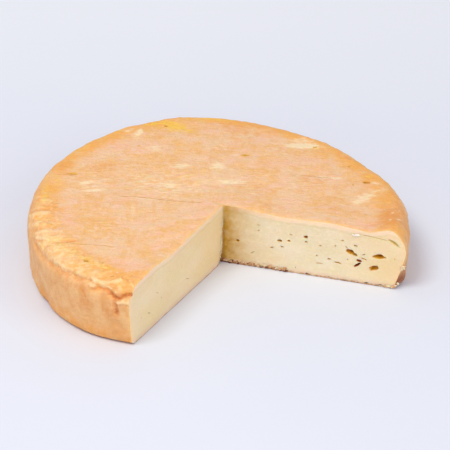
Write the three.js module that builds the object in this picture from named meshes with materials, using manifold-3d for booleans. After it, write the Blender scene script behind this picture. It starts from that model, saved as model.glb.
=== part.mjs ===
// A Munster cheese: a flat washed-rind wheel with a wedge of about 101 degrees cut out of it.
// Lengths are in millimetres and angles in degrees. The origin is the wheel's centre on its
// flat underside, +Z is up, and the cut opens towards -Y.
import * as THREE from 'three';
import { mergeVertices } from 'three/addons/utils/BufferGeometryUtils.js';
import Module from 'manifold-3d';

const wasm = await Module();
wasm.setup();

// The wheel
const DIAMETER = 190;
const RADIUS = DIAMETER / 2;
const HEIGHT = 31.4; // at the centre
const SLOPE_RIGHT = -0.036; // the top sinks by this share of the way towards +X
const SLOPE_BACK = 0.028; // and rises by this share of the way towards +Y
const BULGE_HEIGHT = 0.68 * HEIGHT; // where the side stands out most
const SHOULDER = 9; // how far in the rounding of the top edge reaches
const SHOULDER_ARC = 16; // and its length over the edge
const FOOT = 4; // radius of the bottom edge
const TUCK = 0.6; // how far the foot stands in under the bulge
const TUCK_CURVE = 1.5; // above 1, the side stays steep at first and turns in lower down

// The cut: two knife strokes that meet just in front of the wheel's centre.
const APEX = new THREE.Vector2(2.9, -7.4);
const LEFT_CUT = -117.4;
const RIGHT_CUT = -16.3;
const CUT_REACH = 150;

// The outline isn't round: each lobe swells it count times round, first in one direction.
const LOBES = [
  { count: 2, swell: 0.4, towards: -50 },
  { count: 3, swell: 2.64, towards: -21 },
  { count: 4, swell: 0.8, towards: 45.5 },
  { count: 5, swell: 0.95, towards: 24 },
];

// Single bulges (+) and flats (-) of the outline, each fading out over its span to both sides.
const OUTLINE_BUMPS = [
  { at: 52, span: 11, out: 1.1 },
  { at: 31, span: 13, out: -1.7 },
  { at: 7, span: 10, out: 0.4 },
  { at: 82, span: 10, out: -0.7 },
  { at: 105, span: 9, out: 0.7 },
  { at: 117, span: 9, out: -0.8 },
];

// Places where the foot stands in further, by the two cuts and at a pinch on the left.
const FOOT_TUCKS = [
  { at: -23.5, span: 7.5, in: 6 },
  { at: -114, span: 16, in: 1.2 },
  { at: -147.5, span: 5, in: 0.9 },
];

// Slow swells (+) and sags (-) of the top face.
const TOP_SWELLS = [
  { x: -8, y: -27, reach: 24, height: 0.6 },
  { x: -20, y: -50, reach: 22, height: -0.7 },
  { x: -27, y: -69, reach: 16, height: 0.6 },
  { x: 12, y: -8, reach: 28, height: 1.4 },
  { x: 56.7, y: -23.1, reach: 36, height: 2 },
  { x: -45, y: 30, reach: 40, height: -0.5 },
  { x: 35, y: 45, reach: 38, height: 0.5 },
];

// The raised roll along the rim by the right-hand cut.
const LIP = { at: -22, span: 26, fromRim: 7.5, width: 13, height: 4.1 };

// Ridges (+) and creases (-) over the left front of the top edge, where the cloth has gathered
// the rind. Each runs through places given as direction and distance over the edge, 0 being
// where the rounding starts, and fades out over its width to both sides.
const FOLDS = [
  { height: 1.1, width: 4.4, through: [[-167.7, 7.3], [-166.2, 4], [-165, -0.7]] },
  { height: 0.9, width: 3, through: [[-162.6, 7.7], [-159, 4.3], [-157.9, 1.4]] },
  { height: 0.9, width: 3.2, through: [[-157.3, 8.1], [-155.4, 5.6], [-154.5, 3]] },
  { height: 0.9, width: 3.2, through: [[-147.6, 7.2], [-146, 4.3], [-143.8, 1.2]] },
  { height: 0.7, width: 2.6, through: [[-141.2, 8.8], [-137.8, 7.9], [-136.1, 7.8]] },
  { height: 0.5, width: 2.6, through: [[-137.9, 4.4], [-135.7, 3.7], [-132.3, 3.4]] },
  { height: 0.5, width: 2.4, through: [[-132.1, 6.9], [-129.4, 5.2], [-123.6, -1.8]] },
  { height: 0.9, width: 2.2, through: [[-126.4, 6.1], [-122.4, 7.3], [-118.8, 1.7]] },
  { height: 0.6, width: 2.2, through: [[-118.1, 4.8], [-117.1, 6.4], [-116.5, 8.3]] },
  { height: 0.7, width: 2.2, through: [[-117.4, 13.8], [-115.7, 13.3], [-110, 13.3]] },
  { height: -0.6, width: 2, through: [[-171.5, 8.7], [-169.5, 5], [-168.2, -3.4]] },
  { height: -0.6, width: 2, through: [[-162.5, 10.8], [-158.2, 6.7], [-156.3, 0]] },
  { height: -0.7, width: 2, through: [[-149.7, 8.2], [-148.7, 3.3], [-145.2, -6.9]] },
  { height: -1.3, width: 2.2, through: [[-155, 11.5], [-149.2, 11.6], [-143.4, 10.6]] },
  { height: -1.3, width: 2.2, through: [[-143.4, 10.6], [-133.2, 9.2], [-127, 8]] },
  { height: -1.1, width: 2, through: [[-125.6, 10.7], [-121.8, 8.9], [-119.7, 10.4]] },
  { height: -1.7, width: 2.2, through: [[-119.7, 10.4], [-117.6, 12], [-113.7, 8.6]] },
  { height: -1.1, width: 2, through: [[-118.2, 12.3], [-117.7, 14.8], [-117.4, 20.7]] },
];

// Holes in the paste that the right-hand cut has opened: how far from the apex, how high, and
// the size of each hollow along the cut, upwards and into the paste. Some lie at a slant.
const EYES = [
  { along: 79, height: 16.4, long: 6, tall: 2.4, deep: 3.2, slant: 4 },
  { along: 76.7, height: 9.6, long: 4.8, tall: 3, deep: 3, slant: 24 },
  { along: 64.6, height: 16.4, long: 4.6, tall: 2.8, deep: 3, slant: -22 },
  { along: 67, height: 15.2, long: 2.6, tall: 1.8, deep: 4.4, slant: -10 },
  { along: 69.1, height: 12.4, long: 2.2, tall: 1.3, deep: 3, slant: -8 },
  { along: 68.5, height: 10.2, long: 3.4, tall: 1.4, deep: 4, slant: 38 },
  { along: 42.2, height: 20.9, long: 2.2, tall: 2.2, deep: 2.6, slant: 0 },
  { along: 42.5, height: 18.4, long: 1.4, tall: 1.2, deep: 1.8, slant: 0 },
  { along: 58.5, height: 9.4, long: 4.2, tall: 1, deep: 1.4, slant: -6 },
  { along: 29.2, height: 16.8, long: 2.6, tall: 1.8, deep: 2.2, slant: -14 },
  { along: 33.8, height: 17.4, long: 1.6, tall: 1.3, deep: 1.6, slant: 0 },
  { along: 7.6, height: 13.1, long: 2.2, tall: 1.9, deep: 2.2, slant: 0 },
  { along: 66.9, height: 20.4, long: 2.4, tall: 1.1, deep: 1.6, slant: -8 },
  { along: 85.6, height: 24.9, long: 7, tall: 2.2, deep: 1.4, slant: -27 },
  { along: 74, height: 26.4, long: 16, tall: 1.1, deep: 0.9, slant: -4 },
];

// Nicks in the rind of the top: where, how long and wide, how deep, and which way they run.
const NICKS = [
  { x: -72.8, y: 19.6, long: 4.6, wide: 2.8, deep: 1.2, towards: 10 },
  { x: 13.9, y: 47.4, long: 4.4, wide: 2, deep: 1, towards: 0 },
  { x: 75.6, y: 23.8, long: 4, wide: 2, deep: 1.1, towards: 5 },
  { x: -28.4, y: 77.6, long: 2.4, wide: 2, deep: 1.1, towards: 0 },
  { x: -59.7, y: -63.9, long: 2.6, wide: 1.8, deep: 1.1, towards: -20 },
];

const radians = THREE.MathUtils.degToRad;

// 1 at offset 0, falling smoothly to 0 at the span on either side.
function hump(offset, span) {
  return Math.abs(offset) < span ? 0.5 + 0.5 * Math.cos((Math.PI * offset) / span) : 0;
}

// The turn from one direction to another, between -180 and 180.
function turn(from, to) {
  return THREE.MathUtils.euclideanModulo(to - from + 180, 360) - 180;
}

// The wheel's radius at the bulge, in a direction.
function rimRadius(direction) {
  let radius = RADIUS;
  for (const lobe of LOBES) {
    radius += lobe.swell * Math.cos(lobe.count * radians(direction - lobe.towards));
  }
  for (const bump of OUTLINE_BUMPS) {
    radius += bump.out * hump(turn(bump.at, direction), bump.span);
  }
  return radius;
}

function footTuck(direction) {
  let tuck = TUCK;
  for (const place of FOOT_TUCKS) {
    tuck += place.in * hump(turn(place.at, direction), place.span);
  }
  return tuck;
}

function topHeight(direction, radius) {
  const x = radius * Math.cos(radians(direction));
  const y = radius * Math.sin(radians(direction));
  let height = HEIGHT + SLOPE_RIGHT * x + SLOPE_BACK * y;
  for (const swell of TOP_SWELLS) {
    height += swell.height * hump(Math.hypot(x - swell.x, y - swell.y), swell.reach);
  }
  const fromRim = rimRadius(direction) - radius;
  const alongLip = hump(turn(LIP.at, direction), LIP.span);
  return height + LIP.height * alongLip * hump(fromRim - LIP.fromRim, LIP.width);
}

// How far, in mm over the rind, a place lies from a fold's path.
function awayFromPath(direction, over, path) {
  const fromHere = ([at, overEdge]) =>
    new THREE.Vector2(turn(direction, at) * radians(RADIUS), overEdge - over);
  let nearest = Infinity;
  for (let i = 1; i < path.length; i++) {
    const start = fromHere(path[i - 1]);
    const run = fromHere(path[i]).sub(start);
    const share = THREE.MathUtils.clamp(-start.dot(run) / run.lengthSq(), 0, 1);
    nearest = Math.min(nearest, start.addScaledVector(run, share).length());
  }
  return nearest;
}

// How far the rind stands out (+) or in (-) at a direction and a distance over the edge.
function rindRelief(direction, over) {
  let ridge = 0;
  let crease = 0;
  for (const { height, width, through } of FOLDS) {
    const relief = height * hump(awayFromPath(direction, over, through), width);
    ridge = Math.max(ridge, relief);
    crease = Math.min(crease, relief);
  }
  return ridge + crease;
}

// One ring of the wheel: for a direction, the radius and height of its bare form, the way it
// faces (0 outwards, 90 upwards) and its distance over the edge.
function topRing(share) {
  return (direction) => {
    const edge = rimRadius(direction) - SHOULDER;
    const radius = share * edge;
    return { radius, height: topHeight(direction, radius), faces: 90, over: radius - edge };
  };
}

function shoulderRing(faces) {
  return (direction) => {
    const radius = rimRadius(direction) - SHOULDER * (1 - Math.cos(radians(faces)));
    const rise = topHeight(direction, radius) - BULGE_HEIGHT;
    const height = BULGE_HEIGHT + rise * Math.sin(radians(faces));
    return { radius, height, faces, over: SHOULDER_ARC * (1 - faces / 90) };
  };
}

function sideRing(down) {
  return (direction) => {
    const drop = down * (BULGE_HEIGHT - FOOT);
    const radius = rimRadius(direction) - footTuck(direction) * down ** TUCK_CURVE;
    return { radius, height: BULGE_HEIGHT - drop, faces: 0, over: SHOULDER_ARC + drop };
  };
}

function footRing(faces) {
  return (direction) => {
    const inset = FOOT * (1 - Math.cos(radians(faces)));
    const radius = rimRadius(direction) - footTuck(direction) - inset;
    const height = FOOT * (1 - Math.sin(radians(faces)));
    return { radius, height, faces: -faces, over: SHOULDER_ARC + BULGE_HEIGHT };
  };
}

// From the top's centre, over the shoulder, down the side and under the foot, to the centre of
// the underside. The rings lie closest where the folds are.
function wheelRings() {
  const shares = [0, 0.25, 0.5, 0.68, 0.8, 0.88, 0.94];
  const shoulderFaces = [90, 78, 67, 57, 48, 40, 32, 24, 12, 0];
  const drops = [0.2, 0.4, 0.6, 0.8, 1];
  const footFaces = [35, 65, 90];
  const underside = () => ({ radius: 0, height: 0, faces: -90, over: 0 });
  return [
    ...shares.map(topRing),
    ...shoulderFaces.map(shoulderRing),
    ...drops.map(sideRing),
    ...footFaces.map(footRing),
    underside,
  ];
}

// Directions of the rings' corners: close together at the folded left front, far apart where
// the wedge is cut away.
function wheelDirections() {
  const stretches = [
    { to: -173, step: 2.4 },
    { to: -110, step: 1.4 },
    { to: -29, step: 13 },
    { to: 15, step: 2.75 },
    { to: 180, step: 3.3 },
  ];
  const directions = [-180];
  for (const { to, step } of stretches) {
    const from = directions[directions.length - 1];
    const count = Math.round((to - from) / step);
    for (let i = 1; i <= count; i++) directions.push(from + ((to - from) * i) / count);
  }
  return directions;
}

// A lathe of the bare profile, with each ring then moved to its own radius, height and relief.
function wheelGeometry() {
  const rings = wheelRings().reverse();
  const directions = wheelDirections();
  const profile = rings.map((ring) => new THREE.Vector2(ring(0).radius, ring(0).height));
  const geometry = new THREE.LatheGeometry(profile, directions.length - 1);
  const position = geometry.getAttribute('position');
  directions.forEach((direction, i) => {
    rings.forEach((ring, j) => {
      const { radius, height, faces, over } = ring(direction);
      const relief = faces < 0 ? 0 : rindRelief(direction, over);
      const out = radius + relief * Math.cos(radians(faces));
      const up = height + relief * Math.sin(radians(faces));
      const x = out * Math.cos(radians(direction));
      const y = out * Math.sin(radians(direction));
      position.setXYZ(i * rings.length + j, x, y, up);
    });
  });
  return geometry;
}

// The wedge that the knife takes out, taller than the wheel and wider than its rim.
function wedgeGeometry() {
  const outline = new THREE.Shape();
  outline.moveTo(APEX.x, APEX.y);
  for (const direction of [LEFT_CUT, (LEFT_CUT + RIGHT_CUT) / 2, RIGHT_CUT]) {
    outline.lineTo(
      APEX.x + CUT_REACH * Math.cos(radians(direction)),
      APEX.y + CUT_REACH * Math.sin(radians(direction)),
    );
  }
  outline.closePath();
  const geometry = new THREE.ExtrudeGeometry(outline, { depth: 2 * HEIGHT, bevelEnabled: false });
  return geometry.translate(0, 0, -HEIGHT / 2);
}

// An ellipsoid whose first axis runs along the right-hand cut.
function eyeGeometry({ along, height, long, tall, deep, slant }) {
  const geometry = new THREE.SphereGeometry(0.5, 10, 7);
  geometry.rotateX(Math.PI / 2);
  geometry.scale(long, 2 * deep, tall);
  geometry.rotateY(-radians(slant));
  geometry.rotateZ(radians(RIGHT_CUT));
  return geometry.translate(
    APEX.x + along * Math.cos(radians(RIGHT_CUT)),
    APEX.y + along * Math.sin(radians(RIGHT_CUT)),
    height,
  );
}

function nickGeometry({ x, y, long, wide, deep, towards }) {
  const direction = THREE.MathUtils.radToDeg(Math.atan2(y, x));
  const geometry = new THREE.SphereGeometry(0.5, 8, 6);
  geometry.scale(long, wide, 2 * deep);
  geometry.rotateZ(radians(towards));
  return geometry.translate(x, y, topHeight(direction, Math.hypot(x, y)));
}

function solidFrom(geometry) {
  const bare = geometry.clone();
  bare.deleteAttribute('normal');
  bare.deleteAttribute('uv');
  const merged = mergeVertices(bare, 1e-4);
  return new wasm.Manifold(
    new wasm.Mesh({
      numProp: 3,
      vertProperties: merged.getAttribute('position').array,
      triVerts: new Uint32Array(merged.index.array),
    }),
  );
}

function geometryFrom(solid) {
  const mesh = solid.getMesh();
  const geometry = new THREE.BufferGeometry();
  geometry.setAttribute('position', new THREE.BufferAttribute(mesh.vertProperties, 3));
  geometry.setIndex(new THREE.BufferAttribute(mesh.triVerts, 1));
  const faceted = geometry.toNonIndexed();
  faceted.computeVertexNormals();
  return faceted;
}

function cheeseGeometry() {
  let cheese = solidFrom(wheelGeometry()).subtract(solidFrom(wedgeGeometry()));
  for (const eye of EYES) cheese = cheese.subtract(solidFrom(eyeGeometry(eye)));
  for (const nick of NICKS) cheese = cheese.subtract(solidFrom(nickGeometry(nick)));
  return geometryFrom(cheese);
}

const cheeseMaterial = new THREE.MeshStandardMaterial({
  color: 0xeeb883,
  roughness: 0.6,
  metalness: 0,
});

const cheese = new THREE.Mesh(cheeseGeometry(), cheeseMaterial);
cheese.name = 'munster_cheese';

const part = new THREE.Group();
part.add(cheese);

export default part;
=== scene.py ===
"""A Munster cheese wheel with a wedge cut out of it, in metres, +Z up.

The wheel's bare form is worked out in millimetres from the same named sizes as its solid. It is
swept round the point where the two knife cuts meet, so that both cut walls are exact planes,
then given its fine relief, its eyes and its nicks.
"""

import math

import bmesh
import bpy
import numpy as np
from mathutils import Matrix, Vector, noise


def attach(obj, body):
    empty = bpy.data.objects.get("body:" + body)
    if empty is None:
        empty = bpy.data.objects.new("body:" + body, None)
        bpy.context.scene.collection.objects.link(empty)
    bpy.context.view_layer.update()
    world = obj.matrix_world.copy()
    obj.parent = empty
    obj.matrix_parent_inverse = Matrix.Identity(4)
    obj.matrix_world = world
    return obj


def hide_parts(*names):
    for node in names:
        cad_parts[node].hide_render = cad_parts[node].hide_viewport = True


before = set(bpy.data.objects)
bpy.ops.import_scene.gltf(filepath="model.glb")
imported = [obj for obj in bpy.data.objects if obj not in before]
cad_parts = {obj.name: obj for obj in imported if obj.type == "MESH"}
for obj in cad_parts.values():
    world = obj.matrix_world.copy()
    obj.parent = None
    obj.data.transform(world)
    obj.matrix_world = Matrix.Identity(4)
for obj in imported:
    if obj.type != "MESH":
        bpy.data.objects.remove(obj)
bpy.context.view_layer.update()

MM = 0.001

# The wheel, in millimetres
RADIUS = 190 / 2
HEIGHT = 31.4
SLOPE_RIGHT = -0.036
SLOPE_BACK = 0.028
BULGE_HEIGHT = 0.68 * HEIGHT
SHOULDER = 9
SHOULDER_ARC = 16
FOOT = 4
TUCK = 0.6
TUCK_CURVE = 1.5

# The cut, in millimetres and degrees
APEX_X = 2.9
APEX_Y = -7.4
APEX = np.array([APEX_X, APEX_Y, 0])
LEFT_CUT = -117.4
RIGHT_CUT = -16.3

# Outline lobes: how many times round, swell in mm, first direction in degrees
LOBES = [(2, 0.4, -50), (3, 2.64, -21), (4, 0.8, 45.5), (5, 0.95, 24)]

# Bulges and flats of the outline: direction, span, mm outwards
OUTLINE_BUMPS = [
    (52, 11, 1.1), (31, 13, -1.7), (7, 10, 0.4), (82, 10, -0.7), (105, 9, 0.7), (117, 9, -0.8),
]

# Where the foot stands in further: direction, span, mm inwards
FOOT_TUCKS = [(-23.5, 7.5, 6), (-114, 16, 1.2), (-147.5, 5, 0.9)]

# Slow swells and sags of the top face: x, y, reach, height
TOP_SWELLS = [
    (-8, -27, 24, 0.6), (-20, -50, 22, -0.7), (-27, -69, 16, 0.6), (12, -8, 28, 1.4),
    (56.7, -23.1, 36, 2), (-45, 30, 40, -0.5), (35, 45, 38, 0.5),
]

# The raised roll along the rim by the right-hand cut
LIP_AT, LIP_SPAN, LIP_FROM_RIM, LIP_WIDTH, LIP_HEIGHT = -22, 26, 7.5, 13, 4.1

# Ridges (+) and creases (-) over the left front of the top edge: height, width of the fading to
# both sides, strength of their colour, and a path of directions and distances over the edge.
# These are in the solid too.
FOLDS = [
    (1.1, 4.4, 0.7, [(-167.7, 7.3), (-166.2, 4), (-165, -0.7)]),
    (0.9, 3, 0.6, [(-162.6, 7.7), (-159, 4.3), (-157.9, 1.4)]),
    (0.9, 3.2, 0.75, [(-157.3, 8.1), (-155.4, 5.6), (-154.5, 3)]),
    (0.9, 3.2, 0.75, [(-147.6, 7.2), (-146, 4.3), (-143.8, 1.2)]),
    (0.7, 2.6, 0.9, [(-141.2, 8.8), (-137.8, 7.9), (-136.1, 7.8)]),
    (0.5, 2.6, 0.6, [(-137.9, 4.4), (-135.7, 3.7), (-132.3, 3.4)]),
    (0.5, 2.4, 0.5, [(-132.1, 6.9), (-129.4, 5.2), (-123.6, -1.8)]),
    (0.9, 2.2, 0.8, [(-126.4, 6.1), (-122.4, 7.3), (-118.8, 1.7)]),
    (0.6, 2.2, 0.5, [(-118.1, 4.8), (-117.1, 6.4), (-116.5, 8.3)]),
    (0.7, 2.2, 0.9, [(-117.4, 13.8), (-115.7, 13.3), (-110, 13.3)]),
    (-0.6, 2, 0.8, [(-171.5, 8.7), (-169.5, 5), (-168.2, -3.4)]),
    (-0.6, 2, 0.8, [(-162.5, 10.8), (-158.2, 6.7), (-156.3, 0)]),
    (-0.7, 2, 0.9, [(-149.7, 8.2), (-148.7, 3.3), (-145.2, -6.9)]),
    (-1.3, 2.2, 0.5, [(-155, 11.5), (-149.2, 11.6), (-143.4, 10.6)]),
    (-1.3, 2.2, 0.65, [(-143.4, 10.6), (-133.2, 9.2), (-127, 8)]),
    (-1.1, 2, 0.85, [(-125.6, 10.7), (-121.8, 8.9), (-119.7, 10.4)]),
    (-1.7, 2.2, 1.5, [(-119.7, 10.4), (-117.6, 12), (-113.7, 8.6)]),
    (-1.1, 2, 1.35, [(-118.2, 12.3), (-117.7, 14.8), (-117.4, 20.7)]),
]

# Finer ones
FINE_FOLDS = [
    (0.5, 1.3, 1.2, [(-156, 9.2), (-151.5, 5), (-150.4, 3.8)]),
    (0.4, 1.2, 0.8, [(-152.9, 8.2), (-150.6, 8.4), (-149.8, 9.2)]),
    (0.4, 1.5, 0.9, [(-126.7, 8.9), (-125.6, 9), (-124.5, 9)]),
    (0.3, 1.4, 0.5, [(-134, 1.6), (-130, 0.2), (-127, -3)]),
    (0.3, 1.3, 0.5, [(-172, -2), (-165, -5), (-158, -6)]),
    (0.35, 1.3, 0.6, [(-175.5, 6), (-174.2, 2), (-173.8, -3)]),
    (-0.4, 1.2, 0.8, [(-166.4, 9.3), (-162.8, 4.8), (-160.6, 0.1)]),
    (-0.6, 1.1, 1.0, [(-154.6, 8.8), (-152.4, 6.8)]),
    (-0.5, 1.2, 0.9, [(-148.1, 7.4), (-147.8, 5.4), (-146.9, 2.9), (-145.9, 0.7)]),
    (-0.4, 1.3, 0.7, [(-125.2, 4.8), (-123.3, 3.6), (-121.9, 1.4)]),
    (-0.3, 1.2, 0.5, [(-141, 6.4), (-138.6, 1.5), (-137, -3)]),
    (-0.35, 1.1, 0.6, [(-177.6, 9), (-176.6, 4), (-176, -1)]),
    (-0.3, 1.0, 0.5, [(-128.7, 14.1), (-127.9, 15.2), (-127.2, 16.3)]),
    (-0.3, 1.0, 0.5, [(-126.6, 17), (-126.3, 19.5), (-126.1, 21.5)]),
]

# How far the folds wander to either side of their paths, in mm
FOLD_WANDER = 1.1

# The stretch that the folds take up
FOLDS_MIDDLE, FOLDS_REACH = -146, 38

# Grid of the swept surface
FOLDED_FROM = 184  # the sweep direction from which the columns lie closer
COARSE_STEPS = 280
CLOSE_STEPS = 190
TOP_ROWS = 86
SHOULDER_ROWS = 26
SIDE_ROWS = 20
FOOT_ROWS = 5

# How deep the knife has rounded the rind along both cuts, and how far in, in mm
TOP_EDGE_WEAR, TOP_EDGE_WORN = 0.45, 1.6

# Hollows that the right-hand cut has opened, in mm: distance from the apex, height, size along
# the cut, size upwards, depth into the paste, and slant in degrees
EYES = [
    (79, 15.9, 6, 3.4, 3.2, 4), (76.7, 9.2, 4.6, 3.9, 3, 24), (64.4, 16.3, 4.4, 3.4, 3, -20),
    (67, 15.2, 2.6, 1.8, 4.4, -10), (42.2, 20.9, 2.2, 2.2, 2.6, 0), (42.5, 18.4, 1.4, 1.2, 1.8, 0),
    (58.5, 9.4, 4.2, 1, 1.4, -6), (29.2, 16.8, 2.6, 1.8, 2.2, -14), (33.8, 17.4, 1.6, 1.3, 1.6, 0),
    (7.6, 13.1, 2.2, 1.9, 2.2, 0), (66.9, 20.4, 2.4, 1.1, 1.6, -8), (54.2, 10.7, 2, 1, 1.3, 10),
    (49.6, 7.5, 3.6, 0.5, 0.9, 4), (71.4, 13.9, 3.4, 0.8, 1.3, -16), (71.2, 16.2, 2, 0.6, 1, 20),
    (62.4, 18.9, 1.6, 0.6, 0.8, -30), (60.4, 22.2, 1.5, 0.8, 0.9, 6), (57.1, 18.5, 0.9, 0.9, 0.9, 0),
    (49.5, 17.4, 1.3, 0.9, 0.9, -10), (47.9, 11.6, 1.2, 0.6, 0.7, 20), (34.7, 21.1, 1.5, 0.7, 0.7, 0),
    (30.6, 13.7, 2, 0.9, 1.1, 8), (25.3, 12.3, 1.9, 0.8, 0.9, 12), (18.2, 23.6, 1.8, 0.5, 0.7, 0),
    (18.3, 20.8, 1.4, 0.6, 0.8, 12), (15.5, 7.9, 2.4, 0.5, 0.8, 42), (3.4, 12.4, 1, 0.8, 0.8, 0),
    (86.5, 16.2, 0.9, 0.7, 0.7, 0), (37.5, 3.2, 0.6, 0.9, 0.7, 0), (63.5, 12.2, 1, 0.5, 0.6, 30),
]

# Two deep reddish holes among them
RED_EYES = [
    (69.1, 12.3, 2.6, 1.7, 2.6, -8), (68.5, 10, 3.8, 2, 3.4, 38),
]

# A gouge and a fold line near the rim, shallower and duller than the eyes
GOUGES = [
    (85.6, 24.8, 7, 2.4, 0.9, -27), (75, 26.5, 16, 0.9, 0.5, -5),
]

# Pricks and slits in the left-hand cut, measured in the same way
LEFT_EYES = [
    (65, 16, 1.6, 0.6, 0.7, 30), (61.5, 11.4, 1.3, 0.6, 0.7, 20), (73, 9.2, 2, 0.8, 0.9, 30),
    (80, 10.4, 1.3, 0.5, 0.7, 40), (36, 8.6, 3.6, 0.4, 0.6, 24), (41, 17.5, 1, 0.5, 0.5, 0),
    (52, 21, 1, 0.4, 0.5, 10),
]

# Gaps under the torn rind at the foot of the right-hand cut
FOOT_GAPS = [
    (1.6, 1.3, 2.4, 1.6, 2.4, 0), (5.2, 0.95, 3.2, 1, 1.8, 0), (9.4, 0.9, 3, 0.9, 1.8, 4),
    (12.8, 0.95, 2.6, 1, 2, -4), (16.6, 0.9, 3, 0.8, 1.6, 0), (21.2, 0.9, 3.4, 0.9, 1.8, 0),
    (25.2, 0.85, 1.8, 0.7, 1.4, 0), (43.5, 0.8, 1.6, 0.6, 1, 0), (54.5, 0.8, 1.2, 0.5, 0.9, 0),
    (73.5, 0.85, 2.2, 0.7, 1.2, 0), (80.2, 0.9, 1.6, 0.7, 1.2, 0),
]

# Nicks in the rind of the top, in mm: place, length, width, depth, and direction in degrees
NICKS = [
    (-72.8, 19.6, 4.6, 2.8, 1.2, 10), (13.9, 47.4, 4.4, 2, 1, 0), (75.6, 23.8, 4, 2, 1.1, 5),
    (-28.4, 77.6, 2.4, 2, 1.1, 0), (-59.7, -63.9, 2.6, 1.8, 1.1, -20), (67.9, 40.3, 1.6, 1.3, 0.8, 0),
    (68.5, 20.7, 1.1, 1, 1, 0), (50.9, 60.2, 2.4, 1.6, 0.6, 20), (-41.6, 53.5, 1.7, 1.3, 0.8, 0),
    (-66, -17, 1, 0.8, 0.7, 0), (-51.9, -64.7, 1.4, 0.8, 0.6, 0), (-47, -76.2, 2, 0.8, 0.7, 0),
    (-19, 75, 2.2, 0.8, 0.6, -12),
]

# Thin lines pressed or cracked into the top: half width, depth, then the points they pass
SCORES = [
    (0.28, 0.5, [(-51, -1.7), (-39.9, -1.7), (-28.8, -2.7), (-21.3, -4), (-13.4, -4.7), (-4, -4.6)]),
    (0.3, 0.6, [(33.7, 27.4), (38.3, 27.8), (43.4, 28), (52.6, 27.1), (60.2, 26.4)]),
    (0.22, 0.4, [(64, 25.4), (70, 24.4), (74, 24)]),
    (0.2, 0.35, [(-84, -47.6), (-72, -49), (-58, -49.6), (-46, -50)]),
    (0.18, 0.3, [(-68, 16), (-77, 18.2), (-83, 17.6)]),
]

# The steps in which such a line is followed, how far its cutter stands out of the rind, and how
# far it wanders, in mm
SCORE_STEP, SCORE_TOP, SCORE_WANDER = 0.9, 0.8, 0.35

# The thin gap past the apex: its reach and half its width
OVERCUT_REACH, OVERCUT_HALF = 5.0, 0.3

# How the inner edge of the left-hand cut has broken away: height and reach from the apex, in mm
APEX_CHIP = [(0, 5.2), (2.3, 3.4), (4.6, 2.5), (8, 1.6), (11.3, 1.2), (17.5, 1.7), (22, 0.9), (26, 0.12)]

# The levels at which it is worked out, and how ragged it is in mm
CHIP_LEVELS, CHIP_RAGGED = 34, 0.35

# How lumpy the cut-out balls are, and the share of its lower half's height that an eye keeps
EYE_UNEVENNESS = 0.4
EYE_FLOOR = 0.5

# Marks on the top of the rind, in mm: place, length, width, direction in degrees, strength
CREAM_MARKS = [
    (-24, 15, 64, 38, 0, 0.42), (-62, 9, 18, 10, 25, 0.45), (-65.6, 11.2, 9, 4, 28, 0.9),
    (-62, 3.5, 12, 3.4, 14, 1), (-66, 7.6, 7, 2, 20, 0.6), (-24, 11.2, 7, 6, 20, 1.1),
    (-19.3, 33, 12, 5, 8, 0.85), (0.4, 34.5, 10, 8, 40, 0.85), (6.5, 32, 8, 3, 10, 0.5),
    (6, 18, 17, 4.4, 6, 0.95), (-42.4, 68, 11, 4.4, 78, 1), (-47.5, 70.5, 8, 4, 60, 0.6),
    (44.6, 61.3, 17, 7, 4, 1.35), (44, 67, 16, 8, 14, 0.6), (57, 27, 11, 1.8, -3, 1.5),
    (40, 27.6, 8, 1.2, 3, 0.7), (73, 7, 24, 7, 53, 0.8), (80, 15.5, 14, 5, 22, 0.5),
    (80.4, 23.6, 5, 3, 0, 0.7), (-34, 51.5, 10, 8, 10, 0.6), (9, 47.6, 6, 2, 0, 0.7),
    (-40.6, -18, 26, 3.4, 90, 0.45), (-36, -3, 14, 2.6, 0, 0.5), (-52, -2, 20, 4, 4, 0.35),
    (86, -9, 6, 1.2, 60, 0.8), (88.6, -16, 5, 1.4, 30, 0.8), (84, -19, 4, 1.2, 90, 0.7),
    (90, -4, 5, 1.1, 100, 0.6), (-44.7, -72.6, 1.3, 1.3, 0, 1.2), (28, 54, 8, 5, 20, 0.4),
    (-5, 54, 12, 4, 12, 0.4), (18, 6, 12, 4, -12, 0.4), (-70, 28, 9, 5, 50, 0.4),
    (20, 78, 16, 5, 0, 0.4),
]
YELLOW_MARKS = [
    (-24, 78, 15, 11, -20, 1.15), (-17, 73, 10, 6, -30, 0.9), (-33, 80, 16, 8, 12, 0.8),
    (-5, 89, 30, 8, -3, 0.6), (-54, 72, 24, 8, 42, 0.55), (-72, 50, 24, 8, 56, 0.5),
    (-88, 20, 24, 7, 80, 0.6), (25, 88, 30, 6, -12, 0.45), (13.9, 47.4, 4.6, 2.4, 0, 1),
    (52, 59, 5, 4, 10, 0.6), (-80, 12, 20, 6, 100, 0.45), (-85, -4, 22, 5, 95, 0.6),
    (-10, 22, 34, 26, 10, 0.3), (-59.7, -61.5, 9, 5, -30, 0.7), (-74, -48, 24, 6, -58, 0.6),
    (-52, -68, 24, 5, -28, 0.6), (-66, -57, 12, 6, -40, 0.6), (78, 31, 6, 3, 30, 0.5),
]
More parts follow.
